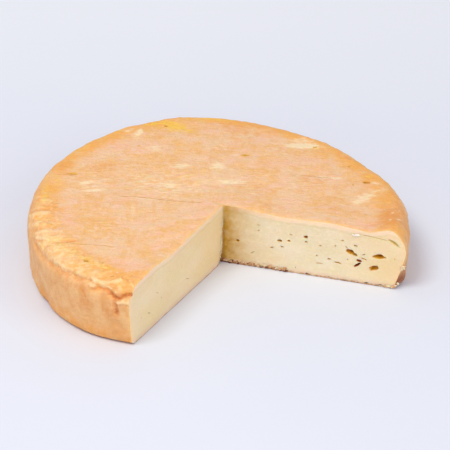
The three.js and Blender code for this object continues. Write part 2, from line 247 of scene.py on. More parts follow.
ROSE_MARKS = [
    (-56, 50, 20, 9, 28, 0.8), (-48, 44, 16, 5, 12, 0.6), (-66, 36, 10, 8, 30, 0.6),
    (46, 45, 16, 10, 10, 0.9), (32, 39, 24, 12, 10, 0.8), (-9, -15, 14, 7, 0, 0.6),
    (-31, 56, 14, 7, 20, 0.6), (8, 60, 10, 16, 20, 0.5), (58, 44, 10, 8, 0, 0.7),
    (34, 1.5, 16, 8, -10, 0.7), (-38, -27, 13, 6, 10, 0.9), (-44, -30, 9, 4, 0, 0.8),
    (-76, -37, 12, 7, 20, 0.9), (-70, -30, 9, 5, 10, 0.6), (-40, -50, 14, 4, 0, 0.6),
    (-25, -29, 8, 5, 0, 0.7), (22, 65, 14, 7, -10, 0.7), (-48, -3, 16, 7, 0, 0.6),
    (-29, 60, 10, 4, 14, 0.7), (-40, 28, 12, 4, 14, 0.6), (76, -16, 12, 6, 20, 0.6),
    (50, 15, 18, 7, 0, 0.5), (-20, -54, 10, 5, 0, 0.4),
]
AMBER_MARKS = [
    (-74.5, 18.6, 7, 4, 10, 0.8), (-78, 17.6, 8, 2.5, 12, 0.5), (69, -9, 22, 8, -8, 0.45),
    (48, 24, 34, 12, -12, 0.4), (12, 78, 50, 18, -4, 0.45), (-58, 28, 30, 11, 22, 0.45),
    (26, -6, 28, 9, -14, 0.4), (60, -6, 32, 10, -12, 0.35), (-20, 70, 20, 8, 10, 0.4),
    (85, -14, 28, 13, 82, 1), (91, -2, 22, 9, 96, 0.9), (79, -20, 12, 8, 0, 0.7),
    (90, 14, 20, 6, 105, 0.6), (66, 52, 20, 5, 132, 0.5), (-78, 28, 14, 8, 60, 0.6),
    (-80, -20, 20, 8, 100, 0.5), (-60, -57, 12, 4, -20, 0.4), (75.6, 23.8, 4.5, 2.6, 5, 0.8),
    (-28.4, 77.6, 2.6, 2.2, 0, 0.6), (-59.7, -63.9, 3, 2.2, -20, 0.7), (84, -4, 22, 8, 100, 0.4),
    (86, 8, 16, 5, 110, 0.3), (-46, 74, 14, 3, 30, 0.4),
]

# Shreds at the rim end of the right-hand cut, in mm: distance from the apex, distance out of the
# wall, height, length, thickness, height of the shred, tilt in degrees, shade
RIM_SHREDS = [
    (67.2, 0.15, 26.5, 2.8, 0.9, 1.2, -12, 1.8),
    (65.6, 0.15, 26.2, 1.6, 0.8, 0.9, 10, 1.8),
    (90.6, 0.1, 12.8, 2.6, 0.8, 1.0, -18, 0.9),
    (91.3, 0.3, 12.1, 1.8, 0.6, 0.8, 24, 0.8),
    (90.2, 0.0, 11.2, 1.6, 0.8, 1.3, 60, 0.85),
    (84.6, 0.3, 1.1, 2.6, 0.9, 1.1, 14, 0.8),
    (86.4, 0.4, 1.0, 2.4, 0.9, 1.2, -10, 0.55),
    (87.6, 0.2, 1.8, 1.8, 0.8, 1.4, -40, 0.7),
    (83.0, 0.3, 0.8, 2.0, 0.8, 0.9, 0, 0.5),
    (88.8, 0.1, 3.2, 1.4, 0.6, 1.2, -60, 0.8),
]

# How many shreds and crumbs lie along the foot and by the apex
FOOT_SHREDS, FINE_SHREDS, APEX_CRUMBS = 150, 95, 80


def srgb(red, green, blue):
    """A display colour of 0 to 255 as linear red, green, blue and alpha."""
    channels = []
    for value in (red, green, blue):
        value /= 255
        channels.append(value / 12.92 if value <= 0.04045 else ((value + 0.055) / 1.055) ** 2.4)
    return (*channels, 1.0)


# Colours of the rind
PEACH = srgb(239, 198, 152)
HONEY = srgb(240, 187, 120)
ROSE = srgb(243, 194, 160)
PINK = srgb(246, 203, 174)
PALE_PEACH = srgb(248, 211, 168)
AMBER = srgb(235, 174, 106)
GOLD = srgb(243, 174, 76)
TAN = srgb(226, 162, 99)
TAN_PALE = srgb(237, 187, 127)
TAN_DEEP = srgb(228, 154, 80)
TAN_CHALKY = srgb(240, 194, 140)
TAN_FOOT = srgb(237, 159, 54)
CREAM = srgb(253, 227, 184)
CREST = srgb(252, 223, 170)
YELLOW = srgb(250, 199, 74)
EDGE_YELLOW = srgb(250, 206, 126)
ORANGE = srgb(230, 146, 64)
# The red of deep creases, also painted shadow under the pinched foot
RED_CREASE_AND_SHADE = srgb(170, 72, 34)
# Painted contact shade where the wheel meets the ground
FOOT_CONTACT_SHADE = srgb(196, 112, 52)
# Painted shade on the foot under the overhang at the rim end of the right-hand cut
CORNER_SHADE = srgb(134, 70, 54)

# Colours of the paste
PASTE = srgb(239, 225, 195)
PASTE_DEEP = srgb(235, 218, 179)
PASTE_LIGHT = srgb(248, 234, 204)
PASTE_OLIVE = srgb(218, 194, 138)
# Painted shade and golden reflected light by the apex of the right-hand cut
PASTE_APEX_SHADE = srgb(191, 143, 24)
# Painted light on the left-hand cut, also the paste's yellowing at the rim end of the right-hand cut
PASTE_YELLOW_AND_LIGHT = srgb(248, 202, 108)
FOOT_RIND = srgb(240, 206, 176)
BAND = srgb(247, 224, 202)
RIND_INNER = srgb(247, 214, 168)
RIND_EDGE = srgb(244, 188, 122)

# The insides of holes: the colours at the lip, further in and at the bottom, and how far in, in
# mm, the second and the third are reached. The darkening towards the bottom is painted shade.
HOLLOW_LOOKS = {
    "eye": (srgb(238, 202, 118), srgb(222, 168, 56), srgb(190, 126, 20), 1.4, 3.4),
    "foot_gap": (srgb(196, 130, 84), srgb(120, 52, 26), srgb(70, 24, 12), 0.8, 1.8),
    "rind_pit": (srgb(238, 190, 92), srgb(214, 158, 50), srgb(156, 104, 30), 0.5, 1.4),
    "gouge": (srgb(236, 214, 160), srgb(236, 214, 160), srgb(214, 182, 108), 0.3, 0.9),
    "red_eye": (srgb(216, 140, 72), srgb(202, 112, 40), srgb(152, 70, 22), 1.0, 2.6),
    "crack": (srgb(214, 150, 84), srgb(214, 150, 84), srgb(138, 84, 38), 0.15, 0.45),
    "broken_paste": (srgb(222, 178, 96), srgb(222, 178, 96), srgb(186, 128, 44), 0.1, 1.0),
}

FLAKE_DARK = srgb(108, 48, 24)
FLAKE_TAN = srgb(206, 142, 90)
FLAKE_CREAM = srgb(238, 214, 172)
FLAKE_WHITE = srgb(252, 240, 220)

FLOOR = srgb(222, 227, 236)
FLOOR_PALE = srgb(227, 231, 240)
# Painted light: the far floor paler to make up for the lamps' falloff
FLOOR_FAR_PAINTED_LIGHT = srgb(243, 247, 251)

# Noisy patches of colour, each laid over the ones before: size in mm, stretch, turn in degrees,
# seed, detail, distortion, the noise at which they begin and are full, strength, colour
EVEN = (1, 1, 1)
TOP_LAYERS = [
    (17, EVEN, 0, 1, 5, 0.6, 0.4, 0.6, 1, PEACH),
    (11, (2.2, 1, 1), 12, 2, 5, 0.8, 0.5, 0.66, 0.9, ROSE),
    (5, (1.8, 1, 1), 3, 16, 6, 0.5, 0.48, 0.62, 0.4, HONEY),
    (2.4, (2.6, 1, 1), 7, 3, 5, 0.5, 0.5, 0.66, 0.38, PALE_PEACH),
    (1.8, (1, 5, 1), -6, 4, 4, 0.2, 0.52, 0.68, 0.38, PINK),
    (3, (1, 1.6, 1), 12, 13, 4, 0.6, 0.48, 0.62, 0.28, PINK),
    (4.4, (1, 1.5, 1), 8, 5, 6, 0.6, 0.5, 0.64, 0.36, AMBER),
]
TAN_LAYERS = [(6.5, (1.2, 1.2, 1.3), 0, 7, 6, 0.6, 0.32, 0.68, 1, TAN_PALE)]
SIDE_LAYERS = [
    (1.5, (1, 1, 3.5), 0, 15, 4, 0, 0.52, 0.7, 0.5, TAN_DEEP),
    (3.6, (1.2, 1.2, 1.6), 0, 17, 4, 0, 0.46, 0.72, 0.42, TAN_CHALKY),
]
GRAIN_LAYERS = [
    (0.8, EVEN, 0, 9, 3, 0, 0.56, 0.72, 0.28, PALE_PEACH),
    (1.2, EVEN, 0, 10, 4, 0, 0.54, 0.7, 0.24, AMBER),
]
PASTE_LAYERS = [
    (13, (1.6, 1.6, 0.8), 0, 22, 5, 0, 0.36, 0.64, 1, PASTE_DEEP),
    (1.7, EVEN, 0, 23, 5, 0, 0.48, 0.7, 0.4, PASTE_LIGHT),
    (1.3, (1, 1, 0.5), 0, 24, 4, 0, 0.58, 0.74, 0.35, PASTE_OLIVE),
]

# How far a noise moves with its seed, in its own patches
NOISE_DRIFT = Vector((31.7, 47.1, 13.3))

# Where the rind turns golden, tan and, low down, orange, in mm over the edge, counted with the
# raggedness added
GOLDEN_FROM, GOLDEN_FULL = -3, 12
SIDE_FROM, SIDE_FULL = 14, 22
LOW_FROM, LOW_FULL = 38, 50
RIM_RAGGED = 22

# How strongly painted shade and golden reflected light lie on the paste by the apex on the
# right-hand cut and how far they reach, how much yellower the paste turns at the rim end, and how
# much painted light lies on the left-hand cut
APEX_SHADE, APEX_SHADE_REACH = 1.05, 10
RIM_YELLOWING = 0.28
LEFT_PAINTED_LIGHT, LEFT_APEX_PAINTED_LIGHT, LEFT_APEX_REACH = 0.25, 0.13, 22


def hump(offset, span):
    """1 at offset 0, falling smoothly to 0 at the span on either side."""
    inside = np.abs(offset) < span
    return np.where(inside, 0.5 + 0.5 * np.cos(np.pi * offset / span), 0.0)


def turn(start, end):
    """The turn from one direction to another, between -180 and 180 degrees."""
    return (end - start + 180) % 360 - 180


def direction_of(x, y):
    return np.degrees(np.arctan2(y, x))


def unit(degrees):
    """The level direction at an angle."""
    angle = math.radians(degrees)
    return np.array([math.cos(angle), math.sin(angle), 0])


def turned(degrees, tilt=0.0):
    """A turn about the vertical by degrees, after a tilt in radians."""
    return Matrix.Rotation(math.radians(degrees), 3, "Z") @ Matrix.Rotation(tilt, 3, "Y")


def rim_radius(direction):
    radius = np.full_like(direction, RADIUS, dtype=float)
    for count, swell, towards in LOBES:
        radius += swell * np.cos(count * np.radians(direction - towards))
    for at, span, out in OUTLINE_BUMPS:
        radius += out * hump(turn(at, direction), span)
    return radius


def foot_tuck(direction):
    tuck = np.full_like(direction, TUCK, dtype=float)
    for at, span, inwards in FOOT_TUCKS:
        tuck += inwards * hump(turn(at, direction), span)
    return tuck


def top_height(x, y):
    direction = direction_of(x, y)
    height = HEIGHT + SLOPE_RIGHT * x + SLOPE_BACK * y
    for at_x, at_y, reach, swell in TOP_SWELLS:
        height = height + swell * hump(np.hypot(x - at_x, y - at_y), reach)
    from_rim = rim_radius(direction) - np.hypot(x, y)
    along_lip = hump(turn(LIP_AT, direction), LIP_SPAN)
    return height + LIP_HEIGHT * along_lip * hump(from_rim - LIP_FROM_RIM, LIP_WIDTH)


def away_from_path(direction, over, path):
    """How far, in mm over the rind, places lie from a fold's path."""
    per_degree = np.radians(RADIUS)
    nearest = np.full(np.shape(direction), np.inf)
    for (from_at, from_over), (to_at, to_over) in zip(path, path[1:]):
        start_x, start_y = turn(direction, from_at) * per_degree, from_over - over
        run_x, run_y = turn(from_at, to_at) * per_degree, to_over - from_over
        share = np.clip(-(start_x * run_x + start_y * run_y) / (run_x**2 + run_y**2), 0, 1)
        nearest = np.minimum(nearest, np.hypot(start_x + share * run_x, start_y + share * run_y))
    return nearest


def scattered_folds():
    """Small streaks between the larger folds: across the edge at the left, turning to run along
    it towards the left-hand cut."""
    chance = np.random.default_rng(3)
    per_degree = math.radians(RADIUS)
    folds = []
    for _ in range(110):
        at = chance.uniform(-179, -113)
        over = chance.uniform(-5, 11)
        along_edge = min(max((at + 168) / 35, 0), 1)
        lean = math.radians(90 - 75 * along_edge + chance.normal(0, 16))
        half = chance.uniform(1.2, 3.4)
        step_at, step_over = half * math.cos(lean) / per_degree, half * math.sin(lean)
        bend = chance.normal(0, 0.5)
        path = [(at - step_at, over - step_over), (at, over + bend), (at + step_at, over + step_over)]
        height = chance.uniform(0.12, 0.32) * chance.choice([-1, 1])
        folds.append((height, chance.uniform(0.8, 1.4), chance.uniform(0.3, 0.8), path))
    return folds


def fold_covers(direction, over):
    """For each fold: its height, the strength of its colour and how far it covers the points of
    the folded stretch. Also which points those are."""
    from_middle = turn(FOLDS_MIDDLE, direction)
    folded = np.abs(from_middle) < FOLDS_REACH
    per_degree = math.radians(RADIUS)
    flat = np.stack([from_middle[folded] * per_degree, over[folded], np.zeros(folded.sum())], axis=-1)
    shift_at = FOLD_WANDER * fine_noise(flat, 4.5, 6) / per_degree
    shift_over = FOLD_WANDER * fine_noise(flat, 4.5, 7)
    covers = []
    for height, width, strength, path in FOLDS + FINE_FOLDS + scattered_folds():
        away = away_from_path(direction[folded] + shift_at, over[folded] + shift_over, path)
        covers.append((height, strength, hump(away, width)))
    return folded, covers


def fold_relief(direction, over):
    """How far the folds lift (+) or press in (-) the rind."""
    folded, covers = fold_covers(direction, over)
    ridge = np.zeros(folded.sum())
    crease = np.zeros(folded.sum())
    for height, _, cover in covers:
        ridge = np.maximum(ridge, height * cover)
        crease = np.minimum(crease, height * cover)
    relief = np.zeros(direction.shape)
    relief[folded] = ridge + crease
    return relief


def fold_colours(direction, over):
    """How strongly the folds colour the rind: cream crests, orange creases and red ones."""
    folded, covers = fold_covers(direction, over)
    tones = np.zeros((3, folded.sum()))
    for height, strength, cover in covers:
        if height > 0:
            tones[0] = np.maximum(tones[0], strength * cover)
        else:
            tones[1] = np.maximum(tones[1], min(strength, 1) * cover)
            tones[2] = np.maximum(tones[2], max(strength - 1, 0) * cover)
    full = np.zeros((3, *direction.shape))
    full[:, folded] = tones
    gathered = hump(turn(FOLDS_MIDDLE, direction), FOLDS_REACH) ** 0.5 * hump(over - 3, 13) ** 0.7
    return np.maximum(full[0], 0.6 * gathered), full[1], full[2]


def fine_noise(points, size, seed, octaves=3):
    """Smooth noise between about -1 and 1 with bumps of the given size in mm."""
    shift = Vector((seed * 17.3, seed * 5.1, seed * 11.7))
    values = [
        noise.fractal(Vector(p) / size + shift, 1.0, 2.0, octaves) for p in points.reshape(-1, 3)
    ]
    return np.array(values).reshape(points.shape[:-1])


def sweep_rows():
    """The rows of the swept surface below the top face. For each: the inset from the bulge, how
    much of the foot's tuck it takes, its height as a share of the rise above the bulge or in mm,
    the way it faces and its distance over the edge."""
    rows = []
    for i in range(SHOULDER_ROWS + 1):
        faces = 90 * (1 - i / SHOULDER_ROWS)
        lean = math.radians(faces)
        inset = SHOULDER * (1 - math.cos(lean))
        rows.append((inset, 0, math.sin(lean), BULGE_HEIGHT, faces, SHOULDER_ARC * (1 - faces / 90)))
    for i in range(1, SIDE_ROWS + 1):
        down = i / SIDE_ROWS
        drop = down * (BULGE_HEIGHT - FOOT)
        rows.append((0, down**TUCK_CURVE, 0, BULGE_HEIGHT - drop, 0, SHOULDER_ARC + drop))
    foot_start = SHOULDER_ARC + BULGE_HEIGHT - FOOT
    for i in range(1, FOOT_ROWS + 1):
        lean = math.radians(90 * i / FOOT_ROWS)
        inset = FOOT * (1 - math.cos(lean))
        height = FOOT * (1 - math.sin(lean))
        rows.append((inset, 1, 0, height, -math.degrees(lean), foot_start + FOOT * lean))
    return np.array(rows)


def reach_from_apex(sweep, inset, tuck_share):
    """How far from the apex, in the sweep's direction, the outline drawn in by the inset lies."""
    cos, sin = np.cos(np.radians(sweep)), np.sin(np.radians(sweep))
    along = -(APEX_X * cos + APEX_Y * sin)
    across = APEX_X * sin - APEX_Y * cos
    reach = np.full_like(sweep, RADIUS, dtype=float)
    for _ in range(7):
        direction = direction_of(APEX_X + reach * cos, APEX_Y + reach * sin)
        circle = rim_radius(direction) - inset - tuck_share * foot_tuck(direction)
        reach = along + np.sqrt(circle**2 - across**2)
    return reach


def rind_texture(points, over):
    """The rind's own unevenness in mm: slow waves, small lumps, and gathers by the rim."""
    slow = 0.3 * fine_noise(points, 17, 1)
    lumps = 0.2 * fine_noise(points, 4.5, 2)
    rim = np.clip(1 - np.abs(over - 6) / 16, 0, 1)
    gathers = 0.3 * rim * fine_noise(points * np.array([1, 1, 0.5]), 3.2, 3)
    return slow + lumps + gathers


def edge_wear(points, reach, sweep):
    """How far the knife has rounded and chipped the rind along the edges of the two cuts."""
    to_right = reach * np.sin(np.radians(np.minimum(sweep - RIGHT_CUT, 90)))
    to_left = reach * np.sin(np.radians(np.minimum(LEFT_CUT + 360 - sweep, 90)))
    chips = 0.55 + 0.45 * fine_noise(points, 2.4, 4)
    return TOP_EDGE_WEAR * hump(np.minimum(to_right, to_left), TOP_EDGE_WORN) * chips


def swept_surface():
    """Points of the outer surface: one column for each sweep direction, rows from the apex out
    over the top, shoulder, side and foot."""
    rows = sweep_rows()
    coarse = np.linspace(RIGHT_CUT, FOLDED_FROM, COARSE_STEPS + 1)[:-1]
    close = np.linspace(FOLDED_FROM, LEFT_CUT + 360, CLOSE_STEPS + 1)
    sweep = np.concatenate([coarse, close])[:, None]
    cos, sin = np.cos(np.radians(sweep)), np.sin(np.radians(sweep))

    top_reach = reach_from_apex(sweep, SHOULDER, 0) * np.arange(TOP_ROWS) / TOP_ROWS
    lower_sweep = np.repeat(sweep, len(rows), axis=1)
    low_reach = reach_from_apex(lower_sweep, rows[:, 0], rows[:, 1])
    reach = np.concatenate([top_reach, low_reach], axis=1)
    x = APEX_X + reach * cos
    y = APEX_Y + reach * sin

    def all_rows(on_top, below_top):
        return np.concatenate([np.full(TOP_ROWS, float(on_top)), rows[:, below_top]])

    top = top_height(x, y)
    bulge = np.minimum(all_rows(BULGE_HEIGHT, 3), BULGE_HEIGHT)
    height = bulge + all_rows(1, 2) * (top - bulge)
    faces = all_rows(90, 4)
    over = np.repeat(all_rows(0, 5)[None, :], len(sweep), 0)
    from_shoulder = np.hypot(x, y) - rim_radius(direction_of(x, y)) + SHOULDER
    over[:, :TOP_ROWS] = from_shoulder[:, :TOP_ROWS]

    points = np.stack([x, y, height], axis=-1)
    relief = np.where(faces < 0, 0, fold_relief(direction_of(x, y), over))
    relief += rind_texture(points, over)
    relief *= np.clip(height / 3, 0, 1)
    relief -= edge_wear(points, reach, sweep) * (faces > 0)
    lean = np.radians(faces)
    points[..., 0] += relief * np.cos(lean) * cos
    points[..., 1] += relief * np.cos(lean) * sin
    points[..., 2] += relief * np.sin(lean)
    points[:, 0] = points[0, 0]
    return points


def wall_relief(points, from_apex, seed):
    """How far a cut wall stands out from its plane: slow knife waves, a fine drag, and torn
    paste near the apex."""
    slow = 0.25 * fine_noise(points, 15, seed)
    drag = 0.08 * fine_noise(points * np.array([0.4, 0.4, 1.0]), 1.6, seed + 1)
    torn = 0.5 * hump(from_apex - 1.5, 4.5) * fine_noise(points, 2.2, seed + 2)
    return slow + drag + torn


def wall_grid(column):
    """A cut wall's inner points, spread evenly between the apex line, the underside, the rim's
    curve and the top's curve. Rows run from the underside up, columns from the apex outwards."""
    top = column[: TOP_ROWS + 1]
    outer = column[TOP_ROWS:][::-1]
    lengths = np.concatenate([[0], np.cumsum(np.linalg.norm(np.diff(outer, axis=0), axis=1))])
    up = (lengths / lengths[-1])[:, None, None]
    out = (np.arange(TOP_ROWS + 1) / TOP_ROWS)[None, :, None]
    foot = np.array([APEX_X, APEX_Y, 0.0])
    bottom = foot + out[0] * (outer[0] - foot)
    apex_line = foot + up[:, 0] * (top[0] - foot)
    straight = (1 - up) * bottom[None] + up * top[None]
    sideways = (1 - out) * apex_line[:, None] + out * outer[:, None]
    corners = (
        (1 - up) * (1 - out) * foot
        + (1 - up) * out * outer[0]
        + up * (1 - out) * top[0]
        + up * out * outer[-1]
    )
    return straight + sideways - corners


def grid_faces(numbers):
    """The four-cornered faces of a grid of vertex numbers."""
    corners = (numbers[:-1, :-1], numbers[:-1, 1:], numbers[1:, 1:], numbers[1:, :-1])
    return np.stack(corners, axis=-1).reshape(-1, 4).tolist()


def mesh_of(bm, name, material=None):
    """The finished mesh of a bmesh, which is freed."""
    mesh = bpy.data.meshes.new(name)
    bm.to_mesh(mesh)
    bm.free()
    if material:
        mesh.materials.append(material)
    return mesh


def closed_mesh(name, vertices, faces, cut_faces=()):
    """A mesh of triangles that face outwards. Its vertices are given in mm, and the cut faces
    take its second material."""
    mesh = bpy.data.meshes.new(name)
    mesh.from_pydata((vertices * MM).tolist(), [], faces)
    for number in cut_faces:
        mesh.polygons[number].material_index = 1
    bm = bmesh.new()
    bm.from_mesh(mesh)
    bmesh.ops.triangulate(bm, faces=bm.faces)
    bmesh.ops.recalc_face_normals(bm, faces=bm.faces)
    bm.to_mesh(mesh)
    bm.free()
    return mesh


def wheel_mesh():
    """The cut wheel as one closed mesh. All columns of the outside share the apex."""
    outside = swept_surface()
    columns, rows = outside.shape[:2]
    index = np.zeros((columns, rows), dtype=int)
    index[:, 1:] = 1 + np.arange(columns * (rows - 1)).reshape(columns, -1)
    vertices = [outside[0, 0], *outside[:, 1:].reshape(-1, 3)]
    inner_ring = index[:, 1].tolist()
    faces = [(0, here, after) for here, after in zip(inner_ring, inner_ring[1:])]
    faces += grid_faces(index[:, 1:])

    wall_start = len(faces)
    bottoms, shifts = [], []
    for column, cut, seed in ((0, RIGHT_CUT, 11), (columns - 1, LEFT_CUT, 21)):
        grid = wall_grid(outside[column])
        numbers = np.zeros(grid.shape[:2], dtype=int)
        numbers[-1] = index[column, : TOP_ROWS + 1]
        numbers[:, -1] = index[column, TOP_ROWS:][::-1]
        if column == 0:
            apex_line = len(vertices) + np.arange(len(grid) - 1)
            vertices.extend(grid[:-1, 0])
        numbers[:-1, 0] = apex_line
        inner = grid[:-1, 1:-1].reshape(-1, 3)
        numbers[:-1, 1:-1] = len(vertices) + np.arange(len(inner)).reshape(len(grid) - 1, -1)
        vertices.extend(inner)
        faces += grid_faces(numbers)
        bottoms.append(numbers[0].tolist())
        from_apex = np.hypot(grid[..., 0] - APEX_X, grid[..., 1] - APEX_Y)
        depth = wall_relief(grid, from_apex, seed) * np.clip(from_apex / 1.5, 0, 1)
        shifts.append((numbers, depth[..., None] * unit(cut + 90)))

    wall_faces = range(wall_start, len(faces))
    faces.append(index[:, -1].tolist() + bottoms[1][::-1][1:] + bottoms[0][1:-1])
    vertices = np.array(vertices)
    for numbers, shift in shifts:
        vertices[numbers] += shift
    return closed_mesh("cheese_wheel", vertices, faces, wall_faces)


def link_object(name, mesh):
    piece = bpy.data.objects.new(name, mesh)
    bpy.context.scene.collection.objects.link(piece)
    return piece


class Shader:
    """The nodes of one material. Each call adds nodes and gives back their output socket.
    Sizes and places are in millimetres."""

    def __init__(self, name):
        self.material = bpy.data.materials.new(name)
        self.material.use_nodes = True
        self.tree = self.material.node_tree
        self.surface = self.tree.nodes["Principled BSDF"]
        metres = self.add("TexCoord").outputs["Object"]
        scaled = self.add("VectorMath", {0: metres, "Scale": 1 / MM}, operation="SCALE")
        self.place = scaled.outputs[0]

    def add(self, kind, inputs=None, **settings):
        """A new node with its settings, its inputs set or linked to the outputs given."""
        node = self.tree.nodes.new("ShaderNode" + kind)
        for name, value in settings.items():
            setattr(node, name, value)
        self.fill(node, inputs or {})
        return node

    def fill(self, node, inputs):
        for name, value in inputs.items():
            self.put(node.inputs[name], value)

    def put(self, socket, value):
        if isinstance(value, bpy.types.NodeSocket):
            self.tree.links.new(value, socket)
        else:
            socket.default_value = value

    def maths(self, operation, first, second):
        return self.add("Math", {0: first, 1: second}, operation=operation).outputs[0]

    def plus(self, first, second):
        return self.maths("ADD", first, second)

    def times(self, first, second):
        return self.maths("MULTIPLY", first, second)

    def band(self, value, low, high):
        """0 below low and 1 above high, or the other way round, with a smooth change."""
        inputs = {"Value": value, "From Min": low, "From Max": high}
        return self.add("MapRange", inputs, interpolation_type="SMOOTHSTEP").outputs[0]

    def noise(self, size, stretch=EVEN, turn=0, seed=0, detail=3, distortion=0):
        """Noise from 0 to 1 whose patches are about the given size, stretched along axes that
        are turned about the vertical by the given degrees."""
        moved = {
            "Vector": self.place,
            "Location": NOISE_DRIFT * seed,
            "Rotation": (0, 0, math.radians(turn)),
            "Scale": [size * s for s in stretch],
        }
        place = self.add("Mapping", moved, vector_type="TEXTURE").outputs[0]
        shape = {"Vector": place, "Scale": 1, "Detail": detail, "Distortion": distortion}
        return self.add("TexNoise", shape).outputs["Fac"]

    def axis(self, number):
        """Places along x (0) or y (1), or the height above the ground (2)."""
        return self.add("SeparateXYZ", {0: self.place}).outputs[number]

    def attribute(self, name, output="Fac"):
        return self.add("Attribute", attribute_name=name).outputs[output]

    def channels(self, name):
        return self.add("SeparateColor", {0: self.attribute(name, "Color")}).outputs

    def blend(self, factor, under, over):
        """Two colours mixed by a factor, which counts from 0 to 1 only."""
        inputs = {"Factor": factor, 6: under, 7: over}
        return self.add("Mix", inputs, data_type="RGBA").outputs[2]

    def layer(self, colour, amount, strength, tone):
        return self.blend(self.times(amount, strength), colour, tone)

    def patches(self, colour, layers, within=1.0):
        """Lays noisy patches of colour over one another inside a mask."""
        for *shape, low, high, strength, tone in layers:
            amount = self.times(self.band(self.noise(*shape), low, high), within)
            colour = self.layer(colour, amount, strength, tone)
        return colour

    def bump(self, height, distance):
        node = self.add("Bump", {"Strength": 1, "Distance": distance * MM, "Height": height})
        self.fill(self.surface, {"Normal": node.outputs[0]})

    def finish(self, colour, roughness, subsurface, radius, depth):
        """Sets the surface. The light goes in to the given depth, shared out by the radius."""
        self.fill(self.surface, {"Base Color": colour, "Roughness": roughness})
        self.surface.inputs["Subsurface Weight"].default_value = subsurface
        self.surface.inputs["Subsurface Radius"].default_value = radius
        self.surface.inputs["Subsurface Scale"].default_value = depth * MM
        return self.material


def marked_rind(shader, colour):
    """Lays the marks, the folds' colours, the worn edges of the cuts and a painted shadow under the
    pinched foot over the rind. Their borders are broken up, as if torn."""
    cream, yellow, rose = shader.channels("marks")
    groove, crest, amber = shader.channels("folds")
    edge, _, red = shader.channels("cut")
    ragged = shader.times(shader.plus(shader.noise(1.7, (2.4, 1, 1), 10, 8, 5), -0.5), 2.2)
    for mask, tone, strength in (
        (rose, ROSE, 0.75),
        (amber, ORANGE, 0.65),
        (yellow, YELLOW, 0.9),
        (cream, CREAM, 0.9),
        (edge, EDGE_YELLOW, 0.35),
        (groove, ORANGE, 0.65),
        (crest, CREST, 0.75),
        # red creases, and painted shadow under the pinched foot
        (red, RED_CREASE_AND_SHADE, 0.9),
    ):
        torn = shader.band(shader.plus(shader.times(mask, 1.4), ragged), 0.15, 1.35)
        seen = shader.times(torn, shader.band(mask, 0.03, 0.35))
        colour = shader.layer(colour, seen, strength, tone)
    return colour


def rind_colour(shader):
    """The washed rind: peach and honey patches under rosy and cream smears, golden towards the rim,
    tan down the side, with painted contact shade where it meets the ground and painted shade on
    the tucked foot at the rim end of the right-hand cut."""
    colour = shader.patches(HONEY, TOP_LAYERS)
    ragged = shader.times(shader.noise(7, seed=6, detail=5), RIM_RAGGED)
    from_rim = shader.plus(shader.attribute("over"), ragged)
    uneven = shader.band(shader.noise(13, seed=18, detail=5, distortion=0.5), 0.3, 0.6)
    uneven = shader.plus(shader.times(uneven, 0.5), 0.5)
    golden = shader.times(shader.band(from_rim, GOLDEN_FROM, GOLDEN_FULL), uneven)
    colour = shader.layer(colour, golden, 0.85, GOLD)
    side = shader.band(from_rim, SIDE_FROM, SIDE_FULL)
    colour = shader.blend(side, colour, shader.patches(TAN, TAN_LAYERS))
    colour = shader.layer(colour, shader.band(from_rim, LOW_FROM, LOW_FULL), 0.8, TAN_FOOT)
    colour = shader.patches(colour, SIDE_LAYERS, side)
    colour = marked_rind(shader, colour)
    # painted contact shade at the bottom of the rind
    colour = shader.layer(colour, shader.band(shader.axis(2), 1.5, 0.3), 0.7, FOOT_CONTACT_SHADE)
    # painted shade on the tucked foot at the rim end of the right-hand cut
    colour = shader.layer(colour, shader.attribute("corner"), 0.9, CORNER_SHADE)
    return shader.patches(colour, GRAIN_LAYERS)


def rind_material():
    shader = Shader("rind")
    colour = rind_colour(shader)
    smears = shader.noise(1.1, (4, 1, 1), 7, 11, 4)
    pores = shader.noise(0.7, seed=12, detail=4)
    lumps = shader.noise(2.2, seed=14)
    height = shader.plus(smears, shader.times(pores, 0.45))
    shader.bump(shader.plus(height, shader.times(lumps, 1.2)), 0.45)
    roughness = shader.plus(shader.times(pores, 0.25), 0.42)
    shader.surface.inputs["Specular IOR Level"].default_value = 0.3
    return shader.finish(colour, roughness, 0.45, (1.0, 0.5, 0.22), 1.6)


